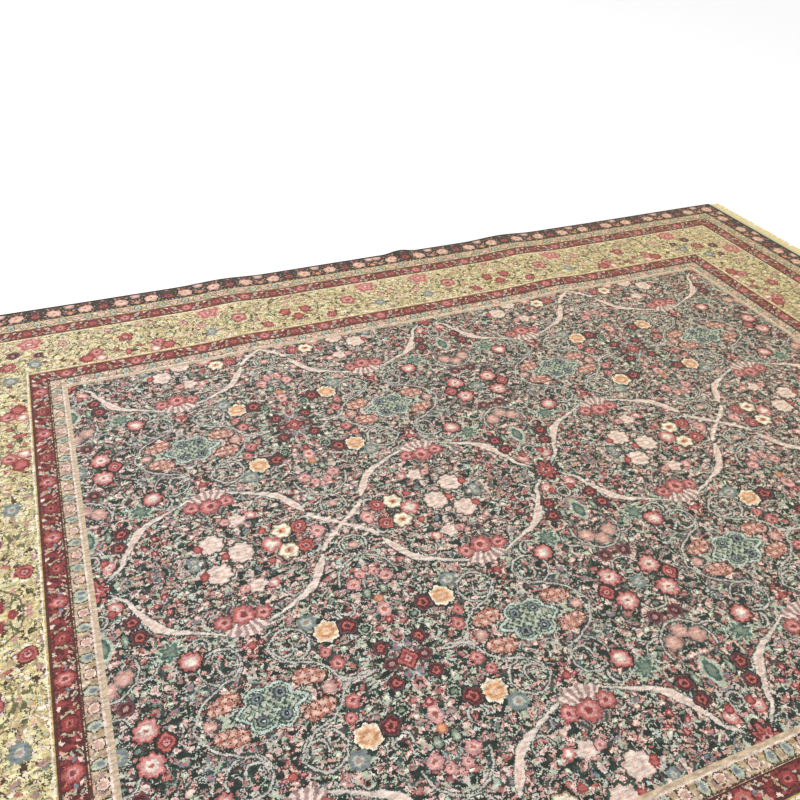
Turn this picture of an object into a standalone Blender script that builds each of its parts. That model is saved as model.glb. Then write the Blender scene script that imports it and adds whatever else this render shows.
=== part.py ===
# A hand-knotted wool rug of about 8 by 10 feet, laid out flat after it was stored folded in thirds.
# X runs along the rug from one fringed end to the other, Y runs across it, and the floor is Z = 0.

import bmesh
import bpy
import numpy as np

# Driving sizes, in metres
RUG_LENGTH = 3.05            # the knotted pile, between its two flat-woven ends
RUG_WIDTH = 2.44             # over both overcast edges
PILE_THICKNESS = 0.010
EDGE_ROUNDING = 0.003        # how far the pile rolls over at its rim
CORD_WIDTH = 0.007           # the overcast edge
CORD_HEIGHT = 0.009
STRIP_WIDTH = 0.030          # the flat-woven end, which holds the fringe
STRIP_THICKNESS = 0.003
LOCK_COUNT = 110             # at each end
LOCK_SHORTEST = 0.020
LOCK_LONGEST = 0.035
LOCK_WIDTH = 0.014
LOCK_LEAN = 0.004            # the most that a lock's tip lies to one side
GAP = 0.0003                 # between two pieces that touch

# The soft ridges that the folds left. Their place is a share of the rug's length, and sway is how far
# a ridge wanders along the rug between the middle of the cloth and its edges.
FOLD_RIDGES = (
    {"place": 0.3235, "height": 0.006, "half_width": 0.15, "sway": 0.010},
    {"place": 0.6710, "height": 0.007, "half_width": 0.15, "sway": -0.012},
)

# The spot where the long edge at +Y doesn't quite lie down, and how far in from the edge it reaches
EDGE_SPOT = {"place": 0.537, "height": 0.009, "half_width": 0.07, "reach": 0.10}

# How a lock narrows and thins past its root: shares of its length, root width and root thickness
LOCK_RINGS = (
    {"along": 0.6, "width": 0.9, "thickness": 0.9},
    {"along": 1.0, "width": 0.5, "thickness": 0.6},
)

COARSE_STEP = 0.20           # between two rows of the cloth where it lies flat
RIDGE_STEP = 0.030
SPOT_STEP = 0.023


def clear_scene():
    for item in list(bpy.data.objects):
        bpy.data.objects.remove(item, do_unlink=True)


def make_material(name, colour, roughness):
    material = bpy.data.materials.new(name)
    material.use_nodes = True
    surface = material.node_tree.nodes["Principled BSDF"]
    surface.inputs["Base Color"].default_value = (*colour, 1.0)
    surface.inputs["Roughness"].default_value = roughness
    surface.inputs["Metallic"].default_value = 0.0
    return material


def along(place):
    return (place - 0.5) * RUG_LENGTH


def bump(distance, half_width):
    # 1 in the middle and 0 from half_width on: the square of a cosine over a quarter turn
    share = np.clip(np.abs(distance) / half_width, 0.0, 1.0)
    return np.cos(0.5 * np.pi * share) ** 2


def lift(x, y):
    # How high the underside of the cloth stands off the floor
    height = np.zeros(np.broadcast(x, y).shape)
    for ridge in FOLD_RIDGES:
        middle = along(ridge["place"]) + ridge["sway"] * np.cos(np.pi * y / RUG_WIDTH)
        height += ridge["height"] * bump(x - middle, ridge["half_width"])
    spot = bump(x - along(EDGE_SPOT["place"]), EDGE_SPOT["half_width"])
    return height + EDGE_SPOT["height"] * spot * bump(RUG_WIDTH / 2 - y, EDGE_SPOT["reach"])


def stations(low, high, spots):
    # Places from low to high: coarse steps that close up around each spot (middle, half width, step)
    place = np.linspace(low, high, 4001)
    closeness = np.full_like(place, 1 / COARSE_STEP)
    for middle, half_width, step in spots:
        near = np.abs(place - middle) < half_width
        closeness = np.maximum(closeness, near / step)
    counted = np.concatenate(([0.0], np.cumsum(closeness[1:] * np.diff(place))))
    count = int(round(counted[-1]))
    return np.interp(np.linspace(0.0, counted[-1], count + 1), counted, place)


def rug_stations():
    # Along the rug, close together over the ridges and the lifted spot
    spots = [(along(ridge["place"]), ridge["half_width"] + 0.02, RIDGE_STEP) for ridge in FOLD_RIDGES]
    spots.append((along(EDGE_SPOT["place"]), EDGE_SPOT["half_width"], SPOT_STEP))
    half = RUG_LENGTH / 2
    inner = stations(-half + EDGE_ROUNDING, half - EDGE_ROUNDING, spots)
    return np.concatenate(([-half], inner, [half]))


def add_object(name, points, faces, material):
    mesh = bpy.data.meshes.new(name)
    mesh.from_pydata([tuple(point) for point in points], [], faces)
    shape = bmesh.new()
    shape.from_mesh(mesh)
    bmesh.ops.recalc_face_normals(shape, faces=shape.faces)
    shape.to_mesh(mesh)
    shape.free()
    mesh.materials.append(material)
    made = bpy.data.objects.new(name, mesh)
    bpy.context.scene.collection.objects.link(made)
    return made


def make_pile():
    # A slab of even thickness over the lifted underside, its top rounded off along the rim
    half_y = RUG_WIDTH / 2 - CORD_WIDTH - GAP
    spot = (RUG_WIDTH / 2, EDGE_SPOT["reach"], SPOT_STEP)
    inner = stations(-half_y + EDGE_ROUNDING, half_y - EDGE_ROUNDING, [spot])
    across = np.concatenate(([-half_y], inner, [half_y]))
    x, y = np.meshgrid(rug_stations(), across, indexing="ij")
    low = lift(x, y)
    high = low + PILE_THICKNESS
    for rim in (np.s_[0, :], np.s_[-1, :], np.s_[:, 0], np.s_[:, -1]):
        high[rim] = low[rim] + PILE_THICKNESS - EDGE_ROUNDING
    rows, columns = x.shape
    points = np.concatenate((
        np.stack((x, y, low), -1).reshape(-1, 3),
        np.stack((x, y, high), -1).reshape(-1, 3),
    ))
    index = np.arange(rows * columns).reshape(rows, columns)
    quads = np.stack((index[:-1, :-1], index[1:, :-1], index[1:, 1:], index[:-1, 1:]), -1).reshape(-1, 4)
    rim = np.concatenate((index[:-1, 0], index[-1, :-1], index[:0:-1, -1], index[0, :0:-1]))
    onward = np.roll(rim, -1)
    top = rows * columns
    walls = np.stack((rim, onward, onward + top, rim + top), -1)
    faces = np.concatenate((quads[:, ::-1], quads + top, walls)).tolist()
    add_object("rug_pile", points, faces, make_material("wool_pile", (0.20, 0.13, 0.09), 0.95))


def make_edge_cord(name, side, material):
    # The overcast edge: an eight-sided cord with a flat underside that follows the rise of the cloth.
    # Its points go round in eighths of a turn, as shares of its half width and of its height.
    ring = (
        (-0.5, 0.0), (0.5, 0.0), (1.0, 0.3), (1.0, 0.6),
        (0.5, 1.0), (-0.5, 1.0), (-1.0, 0.6), (-1.0, 0.3),
    )
    place = rug_stations()
    middle = side * (RUG_WIDTH - CORD_WIDTH) / 2
    rise = lift(place, np.full_like(place, side * RUG_WIDTH / 2))
    points = np.concatenate([
        np.stack((place, np.full_like(place, middle + out * CORD_WIDTH / 2), rise + up * CORD_HEIGHT), -1)
        for out, up in ring
    ])
    count = len(place)
    faces = []
    for number in range(len(ring)):
        here = number * count
        there = (number + 1) % len(ring) * count
        faces += [(here + k, here + k + 1, there + k + 1, there + k) for k in range(count - 1)]
    faces.append([number * count for number in range(len(ring))])
    faces.append([number * count + count - 1 for number in range(len(ring))])
    add_object(name, points, faces, material)


def make_fringe(name, side, seed, material):
    # A flat-woven strip whose outer wall runs out into four-sided locks, all lying level on the floor
    random = np.random.default_rng(seed)
    pitch = RUG_WIDTH / LOCK_COUNT
    middle = -RUG_WIDTH / 2 + pitch * (np.arange(LOCK_COUNT) + 0.5)
    length = random.uniform(LOCK_SHORTEST, LOCK_LONGEST, LOCK_COUNT)
    length[LOCK_COUNT // 3] = LOCK_LONGEST
    lean = random.uniform(-LOCK_LEAN, LOCK_LEAN, LOCK_COUNT)
    inner_x = RUG_LENGTH / 2 + GAP
    outer_x = inner_x + STRIP_WIDTH
    roots = np.stack((middle - LOCK_WIDTH / 2, middle + LOCK_WIDTH / 2), -1).ravel()
    across = np.concatenate(([-RUG_WIDTH / 2], roots, [RUG_WIDTH / 2]))
    points = [
        (side * x, y, z)
        for y in across
        for x, z in ((inner_x, 0), (outer_x, 0), (outer_x, STRIP_THICKNESS), (inner_x, STRIP_THICKNESS))
    ]
    faces = [(0, 1, 2, 3)]
    for row in range(len(across) - 1):
        here, there = 4 * row, 4 * row + 4
        for corner in range(4):
            onward = (corner + 1) % 4
            holds_lock = corner == 1 and row % 2 == 1
            if not holds_lock:
                faces.append((here + corner, here + onward, there + onward, there + corner))
    last = 4 * (len(across) - 1)
    faces.append((last, last + 1, last + 2, last + 3))
    for number in range(LOCK_COUNT):
        start = 4 * (2 * number + 1)
        ring = [start + 1, start + 5, start + 6, start + 2]
        for section in LOCK_RINGS:
            x = side * (outer_x + section["along"] * length[number])
            y = middle[number] + section["along"] * lean[number]
            half = section["width"] * LOCK_WIDTH / 2
            top = section["thickness"] * STRIP_THICKNESS
            onward = list(range(len(points), len(points) + 4))
            points += [(x, y - half, 0), (x, y + half, 0), (x, y + half, top), (x, y - half, top)]
            for k in range(4):
                after = (k + 1) % 4
                faces.append((ring[k], ring[after], onward[after], onward[k]))
            ring = onward
        faces.append(ring)
    add_object(name, points, faces, material)


def build():
    clear_scene()
    make_pile()
    edge_wool = make_material("edge_wool", (0.045, 0.050, 0.040), 0.95)
    make_edge_cord("edge_cord_far", 1, edge_wool)
    make_edge_cord("edge_cord_near", -1, edge_wool)
    warp_cotton = make_material("warp_cotton", (0.78, 0.66, 0.36), 0.9)
    make_fringe("fringe_right", 1, 11, warp_cotton)
    make_fringe("fringe_left", -1, 23, warp_cotton)


build()
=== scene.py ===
# A hand-knotted wool rug with a field of vines and flowers, laid out on a pale floor.
import math

import bpy
import numpy as np
from mathutils import Matrix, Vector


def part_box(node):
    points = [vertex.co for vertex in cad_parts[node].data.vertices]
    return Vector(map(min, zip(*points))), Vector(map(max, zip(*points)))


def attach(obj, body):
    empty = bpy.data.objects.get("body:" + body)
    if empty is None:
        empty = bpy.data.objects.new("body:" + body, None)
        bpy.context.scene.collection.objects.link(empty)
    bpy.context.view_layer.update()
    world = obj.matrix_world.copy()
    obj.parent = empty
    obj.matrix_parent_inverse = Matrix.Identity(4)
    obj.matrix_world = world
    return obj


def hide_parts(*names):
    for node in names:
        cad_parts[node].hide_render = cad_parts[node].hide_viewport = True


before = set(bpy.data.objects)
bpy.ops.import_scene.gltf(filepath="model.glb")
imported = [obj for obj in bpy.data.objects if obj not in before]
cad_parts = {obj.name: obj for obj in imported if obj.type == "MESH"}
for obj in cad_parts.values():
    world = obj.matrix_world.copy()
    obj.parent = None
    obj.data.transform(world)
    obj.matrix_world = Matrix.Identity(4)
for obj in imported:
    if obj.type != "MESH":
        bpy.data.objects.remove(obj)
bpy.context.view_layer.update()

# Sizes of the rug, in metres, read from the frame where it has them
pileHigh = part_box("rug_pile")[1]
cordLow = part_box("edge_cord_near")[0]
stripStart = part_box("fringe_right")[0][0]
rug = {
    "halfLength": pileHigh[0],
    "halfWidth": -cordLow[1],          # over the overcast edges
    "pileHalfWidth": pileHigh[1],
    "pile": 0.010,
    "rolledRim": 0.004,                # how far the pile rolls over at its rim
    "rimLines": (0, 0.12, 0.45, 1.0),  # the grid's lines over the rolled rim, as shares of it
    "cellSize": 0.0135,
    "knot": 0.002,
}

# The ridges that the folds left, and the spot of the far edge that doesn't lie down
folds = {
    "ridges": [
        {"place": 0.3235, "height": 0.006, "halfWidth": 0.15, "sway": 0.010},
        {"place": 0.6710, "height": 0.007, "halfWidth": 0.15, "sway": -0.012},
    ],
    "spot": {"place": 0.537, "height": 0.009, "halfWidth": 0.07, "reach": 0.10},
    "rumple": 0.0005,
    "rumpleFade": 0.05,                # how far in from the rim the rumples are full
    "wander": 0.0012,                  # how far the long edges stray from a straight line
}

# The bands of the border, from the rim inwards, in centimetres
bands = [
    {"name": "darkGuard", "width": 8.0},
    {"name": "outerStripe", "width": 4.5},
    {"name": "redGuard", "width": 4.8},
    {"name": "mainBorder", "width": 20.2},
    {"name": "redGuard", "width": 4.8},
    {"name": "innerStripe", "width": 4.6},
]
bandDepths = np.concatenate(([0.0], np.cumsum([band["width"] for band in bands])))

# Dyes, as they look in even light
dyes = {
    "ink": "1D211E", "night": "2C3632", "pine": "3D4F46", "sage": "7A8775", "celadon": "B1B9A2",
    "teal": "4B655D", "ice": "BAC7BA", "slate": "80858C", "umber": "533F30", "plum": "694A4D",
    "mauve": "A58781", "maroon": "592F2F", "madder": "8C4241", "coral": "B4675F", "rose": "CB9690",
    "blush": "D9B8A8", "shell": "DFCEBF", "peach": "E1BE9C", "orange": "CF9A70", "camel": "B19A79",
    "sand": "C6B195", "straw": "CFBE86", "cream": "EAE1CA", "olive": "6B6A4A", "gold": "C0A269",
    "ivory": "DCD3A6", "flax": "EFD994", "butter": "F6E9BC", "rust": "AE6F5C", "salmon": "CD9F8F",
    "ash": "C2BAB0",
}


def dye(name):
    # the dye's hex code as a linear colour
    parts = np.array([int(dyes[name][k:k + 2], 16) for k in (0, 2, 4)]) / 255
    linear = np.where(parts <= 0.04045, parts / 12.92, ((parts + 0.055) / 1.055) ** 2.4)
    return (*linear.tolist(), 1.0)


# Shapes

def bump(distance, halfWidth):
    # squared cosine over a quarter turn: 1 in the middle, 0 from halfWidth on
    share = np.clip(np.abs(distance) / halfWidth, 0.0, 1.0)
    return np.cos(0.5 * np.pi * share) ** 2


def along(place):
    # x at a share of the rug's length
    return (2 * place - 1) * rug["halfLength"]


def lift(x, y):
    # the cloth's rise off the floor: a bump across each fold, plus one at the spot that fades inwards
    spot = folds["spot"]
    height = np.zeros(np.broadcast(x, y).shape)
    for ridge in folds["ridges"]:
        middle = along(ridge["place"]) + ridge["sway"] * np.cos(0.5 * np.pi * y / rug["halfWidth"])
        height += ridge["height"] * bump(x - middle, ridge["halfWidth"])
    inwards = bump(rug["halfWidth"] - y, spot["reach"])
    return height + spot["height"] * bump(x - along(spot["place"]), spot["halfWidth"]) * inwards


def wander(x):
    # how far the long edges stray outwards: two slow sines
    return folds["wander"] * (0.6 * np.sin(4.1 * x + 0.7) + 0.4 * np.sin(9.7 * x + 2.0))


def addMesh(name, points, faces, smooth=True):
    # an object at the origin, its points in metres
    mesh = bpy.data.meshes.new(name)
    mesh.from_pydata(points.reshape(-1, 3), [], faces)
    mesh.polygons.foreach_set("use_smooth", np.full(len(mesh.polygons), smooth))
    mesh.update()
    piece = bpy.data.objects.new(name, mesh)
    bpy.context.scene.collection.objects.link(piece)
    return piece


def tubeFaces(rings, sides, start=0):
    # quads between neighbouring rings of a tube, and a many-sided cap on each end
    index = start + np.arange(rings * sides).reshape(rings, sides)
    after = np.roll(index, -1, axis=1)
    walls = np.stack((index[:-1], after[:-1], after[1:], index[1:]), -1).reshape(-1, 4)
    return walls.tolist() + [index[0, ::-1].tolist(), index[-1].tolist()]


def slabFaces(rows, columns):
    # quads of two stacked grids, the upper one last, and a wall along their rim
    index = np.arange(rows * columns).reshape(rows, columns)
    quads = np.stack((index[:-1, :-1], index[1:, :-1], index[1:, 1:], index[:-1, 1:]), -1).reshape(-1, 4)
    rim = np.concatenate((index[:-1, 0], index[-1, :-1], index[:0:-1, -1], index[0, :0:-1]))
    onward = np.roll(rim, -1)
    top = rows * columns
    walls = np.stack((rim, onward, onward + top, rim + top), -1)
    return np.concatenate((quads[:, ::-1], quads + top, walls))


def cutUp(edges, step):
    # places from the first edge to the last, each span cut evenly into steps of about the given size
    spans = [
        np.linspace(low, high, int(np.ceil((high - low) / step)) + 1)[:-1]
        for low, high in zip(edges[:-1], edges[1:])
    ]
    return np.concatenate((*spans, [edges[-1]]))


def makePile():
    # The upper grid is lift + thickness, less a quarter circle where the depth from the rim is under
    # the rolled rim's radius; the lower grid is lift alone. Grid lines run along every band's edge.
    roll = rug["rolledRim"]
    depths = np.concatenate((roll * np.array(rug["rimLines"]), bandDepths[1:] / 100))
    overcastWidth = rug["halfWidth"] - rug["pileHalfWidth"]
    places = []
    for half, over in ((rug["halfLength"], 0.0), (rug["pileHalfWidth"], overcastWidth)):
        inward = np.where(depths > roll, depths - over, depths)
        edges = np.concatenate((inward - half, half - inward[::-1]))
        places.append(cutUp(edges, rug["cellSize"]))
    x, y = np.meshgrid(*places, indexing="ij")
    depth = np.minimum(rug["halfLength"] - np.abs(x), rug["pileHalfWidth"] - np.abs(y))
    rolled = roll - np.sqrt(np.maximum(roll ** 2 - np.maximum(roll - depth, 0.0) ** 2, 0.0))
    # rumples: two slow waves that cross, and a quicker one aslant
    waves = np.sin(7.3 * x + 1.2 * np.sin(3.1 * y)) * np.sin(5.2 * y + 0.8) + 0.5 * np.sin(23 * x - 17 * y)
    fade = np.clip(depth / folds["rumpleFade"], 0.0, 1.0)
    low = lift(x, y)
    high = low + rug["pile"] - rolled + folds["rumple"] * waves * fade
    strayed = y + wander(x) * (y / rug["pileHalfWidth"]) ** 3
    points = np.stack((np.stack((x, strayed, low), -1), np.stack((x, strayed, high), -1)))
    faces = slabFaces(*x.shape)
    piece = addMesh("knotted_pile", points, faces.tolist())
    # each face takes the wool of the band that it lies in
    middleX = np.abs(np.tile(x.ravel(), 2)[faces].mean(axis=1))
    middleY = np.abs(np.tile(y.ravel(), 2)[faces].mean(axis=1))
    middleDepth = 100 * np.minimum(rug["halfLength"] - middleX, rug["halfWidth"] - middleY)
    band = np.searchsorted(bandDepths[1:], middleDepth)
    return piece, band, 100 * middleX, 100 * middleY


# The wool wrapped over the outermost warps of the long edges
overcast = {
    "pitch": 0.0034, "stepsPerWrap": 4, "sides": 9, "dip": 0.16, "slant": 0.5,
    "halfWidth": 0.0034, "height": 0.0088,
}


def makeOvercast(name, side):
    # An oval tube along the edge, lifted with the cloth; its radius dips to a crease between two wraps,
    # 1 - dip (1 - |sin|) along the cord, and the creases slant a little round it.
    count = int(2 * rug["halfLength"] / overcast["pitch"] * overcast["stepsPerWrap"])
    x = np.linspace(-rug["halfLength"], rug["halfLength"], count)[:, None]
    turn = np.linspace(0, 2 * np.pi, overcast["sides"], endpoint=False)[None, :]
    phase = np.pi * x / overcast["pitch"] + overcast["slant"] * np.cos(turn)
    swell = 1 - overcast["dip"] * (1 - np.abs(np.sin(phase)))
    halfWidth, halfHeight = overcast["halfWidth"], overcast["height"] / 2
    middle = (rug["halfWidth"] + rug["pileHalfWidth"]) / 2 + wander(x)
    y = side * (middle + halfWidth * swell * np.cos(turn))
    z = lift(x, side * rug["halfWidth"] + 0 * x) + halfHeight + halfHeight * swell * side * np.sin(turn)
    points = np.stack(np.broadcast_arrays(x, y, z), -1)
    return addMesh(name, points, tubeFaces(count, overcast["sides"]))


# The flat-woven ends and their fringe
ends = {
    "stripWidth": 0.024, "stripThickness": 0.0028, "stripGrid": (20, 420),
    "rib": 0.00025, "ribs": 9,
    "strands": 560, "rings": 8, "sides": 6, "radius": 0.0017,
    "thinning": 0.45, "plyDepth": 0.18, "plyTwist": 9,
    "shortest": 0.026, "longest": 0.036, "tuckedIn": 0.0015, "margin": 0.003,
    "bunch": 0.012, "gather": 0.35, "bunchLean": 0.003, "bunchShare": 0.4,
    "stray": 0.0012, "ripple": 0.0008, "rise": 0.0014,
}


def makeStrip(name, side):
    # A thin slab from the pile's end outwards, its upper face ribbed along the weft: a low sine across it
    rows, columns = ends["stripGrid"]
    x = stripStart + np.linspace(0, ends["stripWidth"], rows)
    y = np.linspace(-rug["halfWidth"], rug["halfWidth"], columns)
    x, y = np.meshgrid(x, y, indexing="ij")
    outward = (x - stripStart) / ends["stripWidth"]
    weft = np.sin(ends["ribs"] * 2 * np.pi * outward)
    ribs = ends["rib"] * (weft + 0.6 * np.sin(31 * y + 5 * outward))
    rim = np.minimum(outward * 8, 1) * np.minimum((1 - outward) * 8, 1)
    high = ends["stripThickness"] * (0.75 + 0.25 * rim) - ends["rib"] * 2 + ribs
    points = np.stack((np.stack((side * x, side * y, 0 * x), -1), np.stack((side * x, side * y, high), -1)))
    return addMesh(name, points, slabFaces(*x.shape).tolist())


def makeStrands(name, side, seed):
    # Each strand is a two-ply tube, radius r (1 + a cos 2(turn - twist)), along a line that leaves the
    # strip, leans with its bunch towards the bunch's middle, and sinks to lie on the floor.
    random = np.random.default_rng(seed)
    count, rings, sides = ends["strands"], ends["rings"], ends["sides"]

    def each(values):
        # one value for each strand, over its rings and sides
        return values[:, None, None]

    limit = rug["halfWidth"] - ends["margin"]
    root = np.linspace(-limit, limit, count)
    bunchOf = np.floor(root / ends["bunch"] + 0.3 * np.sin(9 * root)).astype(int)
    bunchOf -= bunchOf.min()
    bunches = bunchOf.max() + 1
    bunchMiddle = np.bincount(bunchOf, root, bunches) / np.bincount(bunchOf, minlength=bunches)
    bunchLean = random.normal(0, ends["bunchLean"], bunches)
    bunchLength = random.uniform(0, 1, bunches)
    share = ends["bunchShare"]
    share = share * bunchLength[bunchOf] + (1 - share) * random.uniform(0, 1, count)
    length = ends["shortest"] + (ends["longest"] - ends["shortest"]) * share
    tip = ends["gather"] * (bunchMiddle[bunchOf] - root) + bunchLean[bunchOf]
    tip = tip + random.normal(0, ends["stray"], count)
    tip = np.clip(root + tip, -limit, limit) - root
    out = np.linspace(0, 1, rings)[None, :, None]
    turn = np.linspace(0, 2 * np.pi, sides, endpoint=False)[None, None, :]
    radius = each(ends["radius"] * random.uniform(0.85, 1.1, count)) * (1 - ends["thinning"] * out ** 3)
    radius = radius * (1 + ends["plyDepth"] * np.cos(2 * (turn - ends["plyTwist"] * out)))
    wave = each(random.uniform(0, 2 * np.pi, count))
    bend = out ** 1.5 * each(tip) + ends["ripple"] * out * np.sin(5 * out + wave)
    x = stripStart + ends["stripWidth"] - ends["tuckedIn"] + out * each(length + ends["tuckedIn"])
    y = each(root) + bend + radius * np.cos(turn)
    rise = each(random.uniform(0, ends["rise"], count)) * np.sin(np.pi * out)
    z = np.maximum(ends["radius"] * 1.05 + rise + radius * np.sin(turn), 0.0001)
    points = np.stack(np.broadcast_arrays(side * x, side * y, z), -1)
    faces = []
    for strand in range(count):
        faces += tubeFaces(rings, sides, strand * rings * sides)
    return addMesh(name, points, faces)


print("shapes: pile, overcast edges, flat-woven ends and fringe")
pile, pileBand, pileX, pileY = makePile()
farCord = makeOvercast("overcast_far", 1)
nearCord = makeOvercast("overcast_near", -1)
rightStrip = makeStrip("flatwoven_end_right", 1)
leftStrip = makeStrip("flatwoven_end_left", -1)
rightStrands = makeStrands("fringe_strands_right", 1, 5)
leftStrands = makeStrands("fringe_strands_left", -1, 8)


# Materials

class Wire:
    # One socket of a material's nodes. Sums, products and the like of wires add Math nodes.
    def __init__(self, tree, made, socket=None):
        self.tree = tree
        self.made = made
        self.socket = socket

    def __repr__(self):
        return f"{self.socket.node.name} {self.socket.identifier}"

    def node(self, kind, settings=None, inputs=None, output=0):
        # A node: its settings first, then the values or links of its sockets. One just like it that was
        # made before is used again.
        key = f"{kind} {settings} {inputs}"
        if key in self.made:
            return Wire(self.tree, self.made, self.made[key].outputs[output])
        made = self.tree.nodes.new(kind)
        self.made[key] = made
        for name, value in (settings or {}).items():
            if name == "stops":
                setStops(made.color_ramp, value)
            elif name == "points":
                setPoints(made.mapping, value)
            else:
                setattr(made, name, value)
        for name, value in (inputs or {}).items():
            if isinstance(value, Wire):
                self.tree.links.new(value.socket, made.inputs[name])
            else:
                made.inputs[name].default_value = value
        return Wire(self.tree, self.made, made.outputs[output])

    def other(self, output):
        # another output of the same node
        return Wire(self.tree, self.made, self.socket.node.outputs[output])

    def math(self, operation, *values):
        sockets = dict(enumerate((self, *values)))
        return self.node("ShaderNodeMath", {"operation": operation}, sockets)

    def vector(self, operation, *values, output=0):
        sockets = dict(enumerate((self, *values)))
        return self.node("ShaderNodeVectorMath", {"operation": operation}, sockets, output)

    def __add__(self, other):
        return self.math("ADD", other)

    def __sub__(self, other):
        return self.math("SUBTRACT", other)

    def __mul__(self, other):
        return self.math("MULTIPLY", other)

    def __truediv__(self, other):
        return self.math("DIVIDE", other)

    def __lt__(self, other):
        return self.math("LESS_THAN", other)

    def __gt__(self, other):
        return self.math("GREATER_THAN", other)

    def __radd__(self, other):
        return self.math("ADD", other)

    def __rmul__(self, other):
        return self.math("MULTIPLY", other)

    def __rsub__(self, other):
        # other - self
        return self.math("MULTIPLY_ADD", -1.0, other)

    def shift(self, step):
        return self.vector("SUBTRACT", step)

    def far(self, middle=(0.0, 0.0)):
        # distance from a point of the chart
        return self.vector("DISTANCE", (*middle, 0.0), output=1)

    def parts(self):
        # x and y, by dot products, which keep Cycles from converting between kinds of socket
        across = self.vector("DOT_PRODUCT", (1.0, 0.0, 0.0), output=1)
        return across, self.vector("DOT_PRODUCT", (0.0, 1.0, 0.0), output=1)

    def flatNoise(self, scale, detail, output=0, **more):
        # a smooth noise over x and y, read at this place
        inputs = {"Vector": self, "Scale": scale, "Detail": detail, **more}
        return self.node("ShaderNodeTexNoise", {"noise_dimensions": "2D"}, inputs, output)

    def over(self, colour, mask):
        # this colour with another laid over it where the mask is 1
        settings = {"data_type": "RGBA", "clamp_factor": True}
        return self.node("ShaderNodeMix", settings, {0: mask, 6: self, 7: colour}, 2)


def layers(colour, *pairs):
    # dyes laid over a colour one after another, each where its mask is 1
    for tone, mask in pairs:
        colour = colour.over(dye(tone), mask)
    return colour


def setStops(ramp, stops):
    # colours that hold from their place to the next one
    ramp.interpolation = "CONSTANT"
    while len(ramp.elements) > 1:
        ramp.elements.remove(ramp.elements[-1])
    for number, (place, colour) in enumerate(stops):
        element = ramp.elements[0] if number == 0 else ramp.elements.new(place)
        element.position = place
        element.color = colour


def setPoints(mapping, points):
    # a smooth curve through the points
    curve = mapping.curves[0]
    while len(curve.points) < len(points):
        curve.points.new(0.5, 0.5)
    for point, (x, y) in zip(curve.points, points):
        point.location = (x, y)
        point.handle_type = "AUTO_CLAMPED"
    mapping.update()


def startMaterial(name):
    # an empty material, and a wire to add its nodes with
    material = bpy.data.materials.new(name)
    material.use_nodes = True
    tree = material.node_tree
    tree.nodes.clear()
    return material, Wire(tree, {})


def finishMaterial(start, colour, bumpHeight, roughness, bumpStrength, bumpDistance, sheen=0.0):
    # a shader with its constants on its own sockets
    inputs = {"Base Color": colour, "Roughness": roughness, "Specular IOR Level": 0.2}
    if sheen:
        inputs.update({"Sheen Weight": sheen, "Sheen Roughness": 0.55, "Sheen Tint": dye("cream")})
    if bumpHeight is not None:
        inputs["Normal"] = start.node(
            "ShaderNodeBump", None,
            {"Strength": bumpStrength, "Distance": bumpDistance, "Height": bumpHeight},
        )
    shader = start.node("ShaderNodeBsdfPrincipled", None, inputs)
    out = start.tree.nodes.new("ShaderNodeOutputMaterial")
    start.tree.links.new(shader.socket, out.inputs["Surface"])


# The wool: how its knots stray and how it catches the light
wool = {
    "fuzz": 0.24,                              # how far a knot is drawn aside, in centimetres
    "drift": 0.9, "driftScale": 0.45,          # how far charted lines stray
    "curl": 1.8,                               # how far the fill-in leaves stray
    # the strength and stretch of a noise that paints the light and shade of the leaning pile
    "knotShade": 0.28, "paintedPileShadeStrength": 1.5, "paintedPileShade": (48.0, 150.0, 0.0),
    # painted light: a tint from cool to warm that stands in for the light falling off towards the right end
    "paintedFalloffTowards": (0.42, 0.1, 0.0), "paintedFalloffMiddle": 0.32,
    "paintedNearLightTint": (1.01, 1.0, 1.03, 1.0), "paintedFarLightTint": (0.95, 0.89, 0.77, 1.0),
    "roughness": 0.92, "sheen": 0.15, "tuftScale": 420.0, "tuftStrength": 0.55, "tuftHeight": 0.0016,
}


def knots(start):
    # Object coordinates, and the same in centimetres: stepped from knot to knot, each knot drawn a
    # little aside at random, as the tufts of a worn pile mix at the edges of a motif
    place = start.node("ShaderNodeTexCoord", output="Object")
    size = 100 * rug["knot"]
    stepped = place.vector("MULTIPLY", (100.0, 100.0, 0.0)).vector("SNAP", (size, size, 1.0))
    aside = start.node("ShaderNodeTexWhiteNoise", {"noise_dimensions": "2D"}, {"Vector": stepped}, 1)
    aside = aside.vector("SUBTRACT", (0.5, 0.5, 0.5))
    return place, aside.vector("MULTIPLY_ADD", (wool["fuzz"], wool["fuzz"], 0.0), stepped)


def chart(x, y):
    # Two versions of one pair of coordinates, both pushed aside by a smooth noise: a little for the
    # charted motifs, as hand-knotted lines stray, and further for the fill-in leaves and curls.
    flat = x.node("ShaderNodeCombineXYZ", None, {0: x, 1: y})
    aside = flat.flatNoise(wool["driftScale"], 1.0, 1).vector("SUBTRACT", (0.5, 0.5, 0.5))
    spot = aside.vector("MULTIPLY_ADD", (wool["drift"],) * 3, flat)
    return spot, aside.vector("MULTIPLY_ADD", (wool["curl"],) * 3, flat)


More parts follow.
